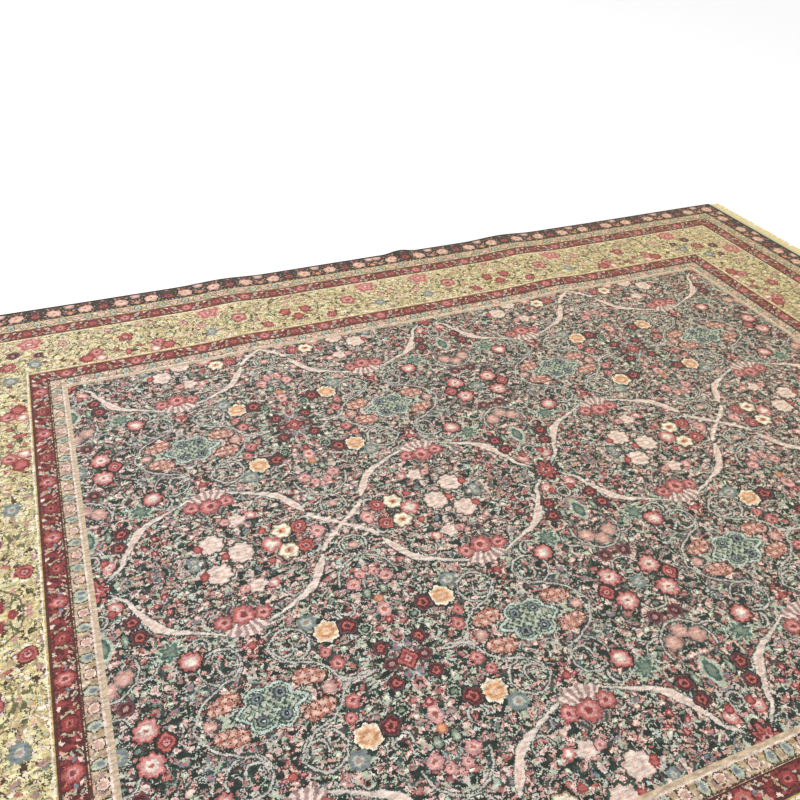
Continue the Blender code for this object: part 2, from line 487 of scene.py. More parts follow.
def woolSurface(start, colour, place, stepped):
    # Every knot a little lighter or darker; painted light and shade of the pile, a stretched noise of tufts
    # that catch more or less light; and a painted falloff of the light: a warmer, deeper tone towards the
    # right end, where the light falls off
    speck = start.node("ShaderNodeTexWhiteNoise", {"noise_dimensions": "2D"}, {"Vector": stepped})
    # painted light and shade of the leaning pile: a noise stretched along the rug that makes tufts lighter
    # or darker
    paintedPileShade = place.vector("MULTIPLY", wool["paintedPileShade"]).flatNoise(1.0, 2.0, Roughness=0.6)
    shade = speck * wool["knotShade"] + paintedPileShade * wool["paintedPileShadeStrength"]
    shade = shade + (1 - wool["knotShade"] / 2 - wool["paintedPileShadeStrength"] / 2)
    # painted falloff of the light: warmer and deeper towards the right end
    paintedFalloff = place.vector("DOT_PRODUCT", wool["paintedFalloffTowards"], output=1) + wool["paintedFalloffMiddle"]
    paintedFalloffTint = start.node("ShaderNodeMix", {"data_type": "RGBA"}, {
        0: paintedFalloff, 6: wool["paintedNearLightTint"], 7: wool["paintedFarLightTint"],
    }, 2)
    shaded = colour.vector("MULTIPLY", paintedFalloffTint)
    shaded = start.node("ShaderNodeVectorMath", {"operation": "SCALE"}, {0: shaded, "Scale": shade})
    finishMaterial(
        start, shaded, place.flatNoise(wool["tuftScale"], 1.0), wool["roughness"],
        wool["tuftStrength"], wool["tuftHeight"], wool["sheen"],
    )


fullTurn = 6.28


def patches(net, scale, tones, detail=2.0):
    # the ground in soft patches: each dye holds from its share of a smooth noise up to the next
    noise = net.flatNoise(scale, detail)
    stops = [(share, dye(name)) for share, name in tones]
    return noise.node("ShaderNodeValToRGB", {"stops": stops}, {0: noise})


def scatter(ground, net, spec):
    # One leaf or floret for each cell of a random net: an ellipse round the cell's point, turned by a
    # random angle, its dye picked by the cell from the words of a ring; later rings lie inside it.
    near = net.vector("MULTIPLY_ADD", (1 / spec["apart"],) * 3, (spec["seed"],) * 3)
    cell = near.node("ShaderNodeTexVoronoi", {"voronoi_dimensions": "2D"}, {"Vector": near, "Scale": 1.0})
    picks = near.node("ShaderNodeSeparateColor", None, {0: cell.other("Color")})
    angle = picks.node("ShaderNodeCombineXYZ", None, {2: picks.other(1).math(
        "MULTIPLY_ADD", spec.get("spread", fullTurn), spec.get("lean", 0.0),
    )})
    offset = near.node("ShaderNodeMapping", {"vector_type": "TEXTURE"}, {
        "Vector": near, "Location": cell.other("Position"), "Rotation": angle,
        "Scale": (spec["size"], spec["size"] / spec["slender"], 1e6),
    })
    reach = offset.vector("LENGTH", output=1)
    for share, words in spec["rings"]:
        names = words.split()
        stops = [(k / len(names), dye(name)) for k, name in enumerate(names)]
        tone = picks.node("ShaderNodeValToRGB", {"stops": stops}, {0: picks})
        ground = ground.over(tone, reach < share)
    return ground


def twigs(ground, net, scale, lines, width, tone):
    # thin curling lines where a smooth noise passes a round value
    line = (net.flatNoise(scale, 1.0) * lines).math("PINGPONG", 0.5)
    return ground.over(dye(tone), line < width)


def shadedGaps(ground, net, spec):
    # dark strokes between the leaves, longer than wide, where a stretched noise is high: partly the dark
    # ground, partly painted shade between rows of the pile
    stretched = net.vector("MULTIPLY", (spec["scale"] * 0.5, spec["scale"], 1.0))
    return ground.over(dye(spec["dye"]), stretched.flatNoise(1.0, 2.0, Roughness=0.6) > spec["above"])


def petalReach(place, at, size, petals=0, depth=0.1, turn=0.0, squash=1.0):
    # distance from the middle over the petals' reach there: d / (size (1 + depth cos(petals angle + turn)))
    if petals == 0 and squash == 1.0:
        return place.far(at) * (1 / size)
    offset = place.shift((*at, 0.0))
    if squash != 1.0:
        offset = offset.vector("MULTIPLY", (1.0, squash, 1.0))
    length = offset.vector("LENGTH", output=1)
    if petals == 0:
        return length * (1 / size)
    x, y = offset.parts()
    wave = y.math("ARCTAN2", x).math("MULTIPLY_ADD", float(petals), turn).math("COSINE")
    return length / wave.math("MULTIPLY_ADD", depth * size, size)


# Flowers by kind: each ring's share of the flower's size and its dye, outermost first
flowerKinds = {
    "rose": [(1.0, "plum"), (0.88, "coral"), (0.6, "rose"), (0.3, "madder")],
    "brightRose": [(1.0, "coral"), (0.8, "rose"), (0.55, "shell"), (0.3, "cream")],
    "redRose": [(1.0, "maroon"), (0.85, "coral"), (0.6, "madder"), (0.35, "rose"), (0.15, "maroon")],
    "pinkRose": [(1.0, "plum"), (0.85, "rose"), (0.5, "blush"), (0.3, "coral")],
    "coralRose": [(1.0, "coral"), (0.82, "rose"), (0.5, "shell"), (0.2, "coral")],
    "darkFlower": [(1.0, "plum"), (0.85, "maroon"), (0.55, "coral"), (0.3, "maroon")],
    "plumFlower": [(1.0, "plum"), (0.66, "maroon"), (0.3, "mauve")],
    "daisy": [(1.0, "camel"), (0.85, "cream"), (0.4, "orange"), (0.18, "madder")],
    "blossom": [(1.0, "cream"), (0.85, "peach"), (0.62, "orange"), (0.3, "peach")],
    "carnation": [(1.0, "blush"), (0.85, "shell"), (0.45, "blush"), (0.25, "shell")],
    "peach": [(1.0, "mauve"), (0.75, "salmon"), (0.35, "blush")],
    "redTip": [(1.0, "madder"), (0.6, "coral")],
    "bud": [(1.0, "madder"), (0.5, "rose")],
    "slateFlower": [(1.0, "sage"), (0.8, "slate"), (0.5, "celadon"), (0.25, "mauve")],
    "whiteDots": [(1.0, "night"), (0.8, "celadon"), (0.62, "night"), (0.35, "sage")],
    "orangeDrop": [(1.0, "rust"), (0.6, "orange")],
    "mauveDrop": [(1.0, "rose"), (0.7, "blush"), (0.35, "coral")],
    "guardPeach": [(1.0, "salmon"), (0.7, "blush"), (0.4, "peach"), (0.2, "rust")],
    "palmette": [(1.0, "salmon"), (0.85, "coral"), (0.6, "rose"), (0.35, "coral"), (0.15, "shell")],
    "guardRed": [(1.0, "maroon"), (0.8, "madder"), (0.35, "coral"), (0.15, "maroon")],
    "guardCoral": [(1.0, "madder"), (0.8, "coral"), (0.5, "rose"), (0.25, "madder")],
    "stripeFlower": [(1.0, "umber"), (0.8, "celadon"), (0.4, "slate")],
    "stripePeach": [(1.0, "umber"), (0.85, "shell"), (0.6, "salmon"), (0.3, "sand")],
    "greenLeaf": [(1.0, "night"), (0.75, "sage"), (0.4, "celadon")],
    "paleLeaf": [(1.0, "celadon"), (0.75, "teal"), (0.45, "sage")],
}


haloReach = 1.18
ringEdge = 0.25


def flower(x, y, size, kind, petals=0, depth=0.1, turn=0.0, squash=1.0, halo=None):
    # where a flower is, how far it reaches, its kind, its petals, and the dye of a dark line round it
    return {"at": (x, y), "size": size, "kind": kind, "petals": petals, "depth": depth, "turn": turn,
            "squash": squash, "halo": halo}


def ring(x, y, radius, width=0.4, tone="ash", edge="pine", above=None, below=None):
    # a thin circle with darker edges, which may be cut off above or below a line
    return {"at": (x, y), "radius": radius, "width": width, "dye": tone, "edge": edge, "above": above,
            "below": below}


def paintFlowers(colour, place, rows):
    # each ring of a flower is laid where the petals' reach is under its share
    for row in rows:
        reach = petalReach(
            place, row["at"], row["size"], row["petals"], row["depth"], row["turn"], row["squash"],
        )
        if row["halo"]:
            colour = colour.over(dye(row["halo"]), reach < haloReach)
        for share, name in flowerKinds[row["kind"]]:
            colour = colour.over(dye(name), reach < share)
    return colour


def paintRings(colour, place, rows):
    # a ring is where the distance from its middle is within half its width of its radius; its darker
    # edge is the same, a little wider, laid under it
    for row in rows:
        side = None
        if row["below"] is not None:
            side = place.parts()[1] < row["below"]
        if row["above"] is not None:
            side = place.parts()[1] > row["above"]
        for tone, extra in ((row["edge"], ringEdge), (row["dye"], 0.0)):
            if tone:
                mask = place.far(row["at"]).math("COMPARE", row["radius"], row["width"] / 2 + extra)
                colour = colour.over(dye(tone), mask if side is None else mask * side)
    return colour


def paintStrokes(colour, place, rows):
    # straight strokes from point to point: the distance to the nearest place on each stretch
    for row in rows:
        for (startX, startY), (endX, endY) in zip(row["path"][:-1], row["path"][1:]):
            run = np.array([endX - startX, endY - startY])
            offset = place.shift((startX, startY, 0.0))
            unit = run / (run @ run)
            part = offset.vector("DOT_PRODUCT", (*unit, 0.0), output=1)
            part = part.math("MINIMUM", 1.0).math("MAXIMUM", 0.0)
            foot = offset.node(
                "ShaderNodeVectorMath", {"operation": "SCALE"}, {0: (*run, 0.0), "Scale": part},
            )
            away = offset.vector("DISTANCE", foot, output=1)
            colour = colour.over(dye(row["dye"]), away < row["width"] / 2)
    return colour


def paintVines(colour, place, rows, wide, tall):
    # a vine is where y is within its half width of a curve through its points, both curves over x
    x, y = place.parts()
    share = x * (1 / wide)
    for row in rows:
        line = [(px / wide, py / tall) for px, py in row["path"]]
        middle = share.node("ShaderNodeFloatCurve", {"points": line}, {"Value": share}) * tall
        for tone, extra in row["tones"]:
            widths = [(px / wide, max(0.0, w + extra) / 4) for px, w in row["widths"]]
            half = share.node("ShaderNodeFloatCurve", {"points": widths}, {"Value": share}) * 2
            colour = colour.over(dye(tone), y.math("COMPARE", middle, half))
    return colour


# The field: a quarter of its repeat, in centimetres from a star (x = 0) on a row of crossings (y = 0)
fieldLength = 200 * rug["halfLength"] - 2 * bandDepths[-1]
fieldWidth = 200 * rug["halfWidth"] - 2 * bandDepths[-1]
field = {"wide": fieldLength / 4, "tall": fieldWidth / 4, "columns": 4, "rows": 3, "margin": 1.8}
medallionX = field["wide"] / 2
rowTop = field["tall"]
crossX = field["wide"]

fieldScatter = [
    {"apart": 1.9, "seed": 3.1, "slender": 1.9, "size": 0.6,
     "rings": [(1.0, "pine teal plum night sage pine plum umber"),
               (0.72, "sage celadon mauve salmon ice rose camel blush")]},
    {"apart": 1.5, "seed": 17.7, "slender": 1.9, "size": 0.56,
     "rings": [(1.0, "night pine umber night plum pine night pine"),
               (0.74, "sage shell mauve celadon blush mauve salmon rose")]},
    {"apart": 1.9, "seed": 41.3, "slender": 1.2, "size": 0.44,
     "rings": [(1.0, "night umber plum pine night umber maroon night"),
               (0.8, "mauve rose shell slate celadon blush coral ice"),
               (0.38, "madder cream rose coral cream shell mauve madder")]},
]

# the field's dark strokes: partly its dark ground, partly painted shade between rows of the pile
fieldShadedGaps = {"scale": 0.75, "above": 0.585, "dye": "night"}

# the scale of the noise, its lines, their width and their dye
fieldTwigs = [(0.14, 5.0, 0.028, "ash"), (0.27, 4.0, 0.035, "celadon")]

# a vine's dyes from its dark edge inwards, each with what it adds to the vine's width
branchTones = [("pine", 0.5), ("ash", 0.0), ("shell", -0.4), ("blush", -2.0), ("shell", -2.8)]
stemTones = [("pine", 0.5), ("ash", 0.0)]
fieldVines = [
    {"path": [(0, 1.0), (4.3, 3.4), (7.7, 9.6), (10.1, 13.0), (13.3, 15.6), (18.1, 17.7), (22.5, 19.8)],
     "widths": [(0, 0.7), (3.0, 0.9), (6.0, 2.0), (8.5, 3.3), (11.5, 2.3), (15.0, 1.2), (20.0, 0.7),
                (22.5, 0.6), (22.9, 0)],
     "tones": branchTones},
    {"path": [(30.0, 19.8), (34.6, 17.8), (38.5, 15.9), (41.5, 14.0), (43.5, 11.3), (45.7, 7.8)],
     "widths": [(29.6, 0), (30.0, 0.6), (34.0, 0.8), (38.0, 1.3), (41.0, 2.2), (43.5, 3.4), (45.0, 2.6),
                (46.0, 1.5), (46.3, 0)],
     "tones": branchTones},
    {"path": [(12.6, 37.5), (14.9, 33.4), (18.1, 30.8), (21.6, 29.3), (23.4, 27.0)],
     "widths": [(12.4, 0), (12.6, 1.1), (14.5, 0.7), (18.0, 0.4), (21.5, 0.5), (23.4, 0.9), (23.6, 0)],
     "tones": stemTones},
    {"path": [(28.8, 26.0), (31.6, 29.6), (36.5, 31.8), (39.0, 34.9), (40.2, 37.0), (46.0, 37.4)],
     "widths": [(28.6, 0), (28.8, 0.9), (30.5, 0.6), (35.0, 0.5), (38.5, 0.9), (40.0, 1.1), (41.0, 0.6),
                (46.0, 0.5), (46.3, 0)],
     "tones": stemTones},
]

fieldRings = [
    ring(19.7, 26.3, 3.9),
    ring(32.8, 26.3, 3.8),
    ring(21.0, 26.6, 1.9, above=26.2),
    ring(31.6, 26.6, 1.9, above=26.2),
    ring(crossX, 16.4, 6.2, below=17.0),
    ring(crossX, 7.0, 2.9),
    ring(44.9, 4.3, 1.3, 0.5, above=4.2),
    ring(6.0, 21.0, 3.3, above=19.5),
    ring(16.6, 21.0, 2.2, below=22.0),
    ring(37.7, 13.2, 1.9, above=12.6),
    ring(7.2, 16.7, 1.7, 0.35, "blush", edge=None),
    ring(0.0, 8.3, 1.4),
    ring(0.0, 21.0, 5.6, above=19.0),
    ring(0.0, 33.3, 3.0),
    ring(45.5, 22.6, 1.9, above=21.8),
]

fieldStrokes = [
    {"path": [(crossX, 0.0), (49.4, 2.6), (46.6, 5.4)], "width": 1.0, "dye": "shell"},
    {"path": [(0.0, 0.0), (4.3, 3.4)], "width": 0.6, "dye": "ash"},
    {"path": [(51.1, 30.8), (52.4, 34.4)], "width": 0.4, "dye": "ash"},
    {"path": [(crossX, 10.0), (crossX, 13.0)], "width": 0.5, "dye": "ash"},
]

fieldFlowers = [
    flower(0.0, 0.0, 2.5, "redRose", petals=8, depth=0.3, halo="night"),
    flower(3.1, 5.7, 1.5, "coralRose"),
    flower(2.4, 7.0, 1.0, "redTip"),
    flower(5.9, 10.4, 1.6, "darkFlower", petals=5, halo="night"),
    flower(6.7, 14.3, 1.7, "darkFlower", petals=5, halo="night"),
    flower(0.0, 14.6, 1.9, "paleLeaf", squash=0.6),
    flower(3.9, 14.2, 0.9, "greenLeaf", squash=0.4),
    flower(2.9, 22.4, 1.9, "peach", petals=7, halo="pine"),
    flower(0.0, 24.2, 1.7, "peach", petals=7),
    flower(2.4, 28.7, 1.8, "plumFlower", petals=6),
    flower(5.1, 34.2, 2.3, "coralRose", petals=9, depth=0.1, halo="night"),
    flower(8.0, rowTop, 1.8, "redRose", halo="night"),
    flower(0.0, rowTop, 1.6, "slateFlower", petals=6),
    flower(11.7, 19.8, 2.5, "paleLeaf", petals=7, depth=0.28),
    flower(13.1, 10.4, 0.75, "bud"),
    flower(14.9, 8.3, 0.75, "bud"),
    flower(10.7, 8.1, 0.75, "bud"),
    flower(12.5, 6.2, 0.75, "bud"),
    flower(14.7, 23.2, 2.1, "brightRose", petals=9, depth=0.08, halo="night"),
    flower(19.7, 0.8, 1.3, "slateFlower"),
    flower(24.3, 4.4, 2.6, "carnation", petals=9, turn=3.14, depth=0.08, halo="pine"),
    flower(21.2, 4.0, 1.1, "redTip"),
    flower(29.9, 0.2, 2.7, "carnation", petals=9, turn=3.14, depth=0.08, halo="pine"),
    flower(26.5, 0.2, 1.1, "redTip"),
    flower(31.1, 9.9, 1.7, "carnation", petals=5),
    flower(28.4, 9.9, 1.2, "pinkRose"),
    flower(34.3, 10.4, 1.3, "brightRose", petals=5),
    flower(15.6, rowTop, 1.2, "peach"),
    flower(37.2, rowTop, 1.3, "peach"),
    flower(26.4, 23.9, 0.8, "redTip"),
    flower(24.9, 23.5, 0.6, "bud"),
    flower(27.9, 23.5, 0.6, "bud"),
    flower(40.5, 25.8, 2.5, "blossom", petals=8, depth=0.1, halo="night"),
    flower(37.5, 22.4, 2.0, "slateFlower", petals=7),
    flower(40.3, 33.4, 1.6, "rose", petals=5),
    flower(38.8, 30.3, 1.3, "rose"),
    flower(44.7, 26.3, 1.9, "darkFlower", petals=5, halo="night"),
    flower(47.6, 28.2, 1.7, "whiteDots", petals=8),
    flower(48.9, 33.4, 1.5, "darkFlower", petals=5, halo="night"),
    flower(49.4, rowTop, 1.6, "plumFlower"),
    flower(crossX, rowTop, 2.2, "redRose", petals=4, depth=0.15),
    flower(39.5, 3.1, 2.2, "daisy", petals=6, depth=0.12, halo="night"),
    flower(43.5, 3.1, 2.0, "redRose", petals=9, depth=0.08),
    flower(46.9, 0.0, 2.0, "pinkRose", petals=9, depth=0.08),
    flower(36.6, 0.0, 2.1, "brightRose", petals=5, turn=3.14, depth=0.12),
    flower(35.4, 4.6, 0.9, "redTip"),
    flower(49.2, 17.3, 1.5, "pinkRose", petals=6),
    flower(51.2, 15.3, 1.4, "pinkRose", petals=6),
    flower(51.0, 20.2, 0.9, "greenLeaf", squash=0.55),
    flower(crossX, 25.2, 1.25, "mauveDrop", squash=0.62),
    flower(crossX, 22.4, 1.1, "orangeDrop"),
    flower(crossX, 28.0, 0.9, "bud"),
    flower(crossX, 7.0, 1.2, "peach"),
    flower(22.4, 16.8, 1.9, "rose", petals=7, depth=0.1),
    flower(30.2, 16.8, 1.9, "rose", petals=7, depth=0.1),
    flower(26.4, 16.2, 2.5, "rose", petals=9, depth=0.1),
]


def paintFans(colour, place, rows):
    # rays from a point: stripes over the angle, between two radii and within half an angle of upright
    for row in rows:
        offset = place.shift((*row["at"], 0.0))
        x, y = offset.parts()
        lean = x.math("ARCTAN2", y * row["way"])
        length = offset.vector("LENGTH", output=1)
        middle = (row["from"] + row["to"]) / 2
        inRing = length.math("COMPARE", middle, (row["to"] - row["from"]) / 2)
        inWedge = lean.math("COMPARE", 0.0, row["halfAngle"])
        rays = (lean * row["rays"]).math("SINE") > row["thin"]
        colour = colour.over(dye(row["ground"]), inRing * inWedge)
        colour = colour.over(dye(row["dye"]), inRing * inWedge * rays)
    return colour


fieldFans = [
    {"at": (medallionX, 10.0), "way": 1.0, "from": 3.6, "to": 5.6, "halfAngle": 0.7, "rays": 30.0,
     "thin": 0.3, "ground": "pine", "dye": "mauve"},
    {"at": (medallionX, 14.5), "way": 1.0, "from": 3.6, "to": 7.0, "halfAngle": 0.75, "rays": 24.0,
     "thin": 0.0, "ground": "mauve", "dye": "shell"},
]


# The medallion: a cartouche of four round lobes over a diamond, and a bed of florets by each lobe
medallion = {
    "reach": (12.5, 7.0), "lobeAt": (2.1, 2.3), "lobe": 1.95, "diamond": (0.55, 0.84, 3.55),
    "bedAt": (7.9, 3.5, 0.0), "alongBed": (0.97, -0.24, 0.0), "acrossBed": (0.44, 1.8, 0.0),
    "bed": 3.1, "bedEdge": 3.4, "florets": (3.9, 3.9, 0.0), "latticeStep": 0.75, "latticeLine": 0.16,
}


def paintMedallion(colour, place):
    # Its four corners are one, folded. The cartouche is where the distance to a lobe or to the diamond
    # falls under 0, a bed is a turned ellipse, and the florets in both are where two sines add up.
    corner = place.shift((medallionX, rowTop, 0.0)).vector("ABSOLUTE")
    across, up = corner.parts()
    florets = place.vector("MULTIPLY", medallion["florets"]).vector("SINE")
    florets = florets.vector("DOT_PRODUCT", (1.0, 1.0, 0.0), output=1)
    bed = corner.shift(medallion["bedAt"])
    alongBed = bed.vector("DOT_PRODUCT", medallion["alongBed"], output=1)
    acrossBed = bed.vector("DOT_PRODUCT", medallion["acrossBed"], output=1)
    bed = (alongBed * alongBed + acrossBed * acrossBed).math("SQRT")
    inBed = bed < medallion["bed"]
    lobe = corner.far(medallion["lobeAt"])
    run, rise, reach = medallion["diamond"]
    edge = (lobe - medallion["lobe"]).math("MINIMUM", (across * run + up * rise) - reach)
    inside = edge < -0.3
    step, line = medallion["latticeStep"], medallion["latticeLine"]
    lattice = (across - up * 0.9).math("PINGPONG", step) < line
    lattice = lattice.math("MAXIMUM", (across + up * 0.9).math("PINGPONG", step) < line)
    return layers(
        colour, ("umber", bed < medallion["bedEdge"]), ("salmon", inBed),
        ("rust", inBed * (florets > 0.8)), ("blush", inBed * (florets < -0.9)),
        ("umber", inBed * (florets.math("ABSOLUTE") < 0.17)),
        ("pine", edge < 0.6), ("ice", edge < 0.4), ("pine", edge < -0.1),
        ("sage", inside * (florets > 0.3)), ("ash", inside * (florets < -0.8)),
        ("celadon", inside * lattice),
        ("pine", lobe < 1.3), ("slate", lobe < 1.0), ("night", lobe < 0.65), ("ice", lobe < 0.3),
    )


def reaches(low, high, corner):
    # whether a motif between two corners may show in the part of the repeat that starts at corner
    step = np.array([field["wide"] / field["columns"], field["tall"] / field["rows"]])
    start = corner * step - field["margin"]
    end = (corner + 1) * step + field["margin"]
    return bool(np.all(np.array(high) > start) and np.all(np.array(low) < end))


def around(row):
    # the box that holds a motif's row, with room for its halo or for a vine's widest place
    if "path" in row:
        points = np.array(row["path"])
        width = row.get("width", 4.0)
    else:
        points = np.array([row["at"]])
        reach = row.get("size", row.get("radius", row.get("to")))
        width = 1.2 * 2 * reach / min(1.0, row.get("squash", 1.0))
    return points.min(axis=0) - width / 2, points.max(axis=0) + width / 2


def makeFieldWool(column, line):
    # the part of the field's repeat in one column and line, with the motifs that reach it
    material, start = startMaterial(f"wool_field_{column}_{line}")
    corner = np.array([column, line])
    place, stepped = knots(start)
    x, y = stepped.parts()
    spot, net = chart(x.math("PINGPONG", field["wide"]), y.math("PINGPONG", field["tall"]))
    ground = [(0.0, "night"), (0.42, "pine"), (0.52, "plum"), (0.6, "night")]
    colour = patches(net, 0.3, ground, detail=1.0)
    for spec in fieldScatter:
        colour = scatter(colour, net, spec)
    # dark strokes: partly dark ground, partly painted shade between rows of the pile
    colour = shadedGaps(colour, net, fieldShadedGaps)
    for twig in fieldTwigs:
        colour = twigs(colour, net, *twig)

    def here(rows):
        return [row for row in rows if reaches(*around(row), corner)]

    colour = paintRings(colour, spot, here(fieldRings))
    colour = paintVines(colour, spot, here(fieldVines), field["wide"], field["tall"])
    colour = paintFans(colour, spot, here(fieldFans))
    colour = paintStrokes(colour, spot, here(fieldStrokes))
    wide, tall = medallion["reach"]
    if reaches((medallionX - wide, rowTop - tall), (medallionX + wide, rowTop), corner):
        colour = paintMedallion(colour, spot)
    colour = paintFlowers(colour, spot, here(fieldFlowers))
    woolSurface(start, colour, place, stepped)
    return material


def borderPlace(stepped):
    # distance from the corner along the side, depth from the rim, and 1 on a short side: of the two
    # distances from the rim, the larger, the smaller, and whether the end's is the smaller
    inward = stepped.vector("ABSOLUTE")
    halves = (100 * rug["halfLength"], 100 * rug["halfWidth"], 0.0)
    inward = inward.node("ShaderNodeVectorMath", {"operation": "SUBTRACT"}, {0: halves, 1: inward})
    fromEnd, fromSide = inward.parts()
    return fromEnd.math("MAXIMUM", fromSide), fromEnd.math("MINIMUM", fromSide), fromEnd < fromSide


def makeBorder(name, paint, *options):
    # a border's wool, coloured by a paint function of the knots' place in the border
    material, start = startMaterial(name)
    place, stepped = knots(start)
    woolSurface(start, paint(*borderPlace(stepped), *options), place, stepped)
    return material


darkGuard = {"halfRepeat": 10.07, "plainRim": 1.5}


def paintDarkGuard(fromCorner, depth, onEnd):
    # two rows of flowers over a dark ground, mirrored at each half repeat
    half = darkGuard["halfRepeat"]
    spot, net = chart(fromCorner.math("PINGPONG", half), depth)
    colour = patches(net, 0.3, [(0.0, "night"), (0.5, "umber"), (0.55, "night")])
    colour = scatter(colour, net, {
        "apart": 1.15, "seed": 3.7, "slender": 1.7, "size": 0.5,
        "rings": [(1.0, "night umber night umber plum night ink pine"),
                  (0.66, "camel mauve rose umber sage night blush orange")],
    })
    colour = paintFlowers(colour, spot, [
        flower(0.0, 1.7, 1.4, "plumFlower", petals=5, halo="night"),
        flower(half, 2.1, 1.7, "peach", petals=6, halo="night"),
        flower(5.4, 1.6, 1.2, "darkFlower", petals=5),
        flower(0.0, 5.5, 1.8, "darkFlower", petals=8, depth=0.2, halo="ink"),
        flower(5.4, 5.1, 2.1, "guardPeach", petals=8, depth=0.08, halo="ink"),
        flower(half, 6.4, 1.0, "orangeDrop", petals=4),
    ])
    return layers(colour, ("ink", depth < darkGuard["plainRim"]))


redGuard = {"halfRepeat": 9.4, "middle": 2.4, "betweenGuards": 30.0}


def paintRedGuard(fromCorner, depth, onEnd):
    # both red guards, one flower at each half repeat and leaning sprays between
    half, middle = redGuard["halfRepeat"], redGuard["middle"]
    isInner = depth > redGuard["betweenGuards"]
    local = depth - bandDepths[2] - isInner * (bandDepths[4] - bandDepths[2])
    spot, net = chart(fromCorner.math("PINGPONG", half), local)
    colour = patches(net, 0.4, [(0.0, "madder"), (0.5, "maroon")])
    colour = scatter(colour, net, {
        "apart": 1.15, "seed": 8.4, "slender": 2.0, "size": 0.62, "lean": 0.5, "spread": 0.8,
        "rings": [(1.0, "maroon umber maroon plum night maroon umber maroon"),
                  (0.75, "coral shell camel slate sand madder celadon salmon")],
    })
    colour = paintFlowers(colour, spot, [
        flower(0.0, middle, 1.8, "guardRed", petals=7, depth=0.12),
        flower(half, middle, 1.9, "guardCoral", petals=7, depth=0.12),
    ])
    edge = local.math("PINGPONG", middle)
    return layers(colour, ("maroon", edge < 0.5), ("umber", edge < 0.22))


# The light stripes, and the plain lines along them: from, to and dye
stripes = {
    "outerStripe": {
        "band": 1, "halfRepeat": 7.4, "middle": 2.25,
        "lines": [(0.0, 0.35, "umber"), (0.35, 0.75, "straw"), (3.75, 4.15, "straw"), (4.15, 4.5, "umber")],
    },
    "innerStripe": {
        "band": 5, "halfRepeat": 7.35, "middle": 1.8,
        "lines": [(0.0, 0.3, "umber"), (3.1, 3.5, "shell"), (3.5, 4.6, "sand")],
    },
}


def paintStripe(fromCorner, depth, onEnd, spec):
    # peach and blue-grey flowers in turn over leaning leaves, and the stripe's plain lines
    half, middle = spec["halfRepeat"], spec["middle"]
    local = depth - bandDepths[spec["band"]]
    spot, net = chart(fromCorner.math("PINGPONG", half), local)
    colour = patches(net, 0.5, [(0.0, "camel"), (0.42, "sand"), (0.6, "salmon")])
    colour = scatter(colour, net, {
        "apart": 1.0, "seed": 5.5, "slender": 2.0, "size": 0.55, "lean": 0.5, "spread": 0.8,
        "rings": [(1.0, "camel cream umber mauve shell umber rust sage")],
    })
    colour = paintFlowers(colour, spot, [
        flower(0.0, middle, 1.2, "stripePeach"),
        flower(half / 2, middle, 1.2, "stripeFlower", squash=0.7),
        flower(half, middle, 1.2, "stripePeach"),
    ])
    for low, high, tone in spec["lines"]:
        colour = colour.over(dye(tone), local.math("COMPARE", (low + high) / 2, (high - low) / 2))
    return colour


# The main border: how far from the corner its tulip and its trefoil are mirrored, and where its short
# sides start to draw in, so that a trefoil falls on their middle
mainBorder = {
    "tulip": 64.5, "trefoil": 116.5, "drawInFrom": 75.0, "drawIn": 0.14, "creamLine": 0.75, "goldLine": 0.42,
}


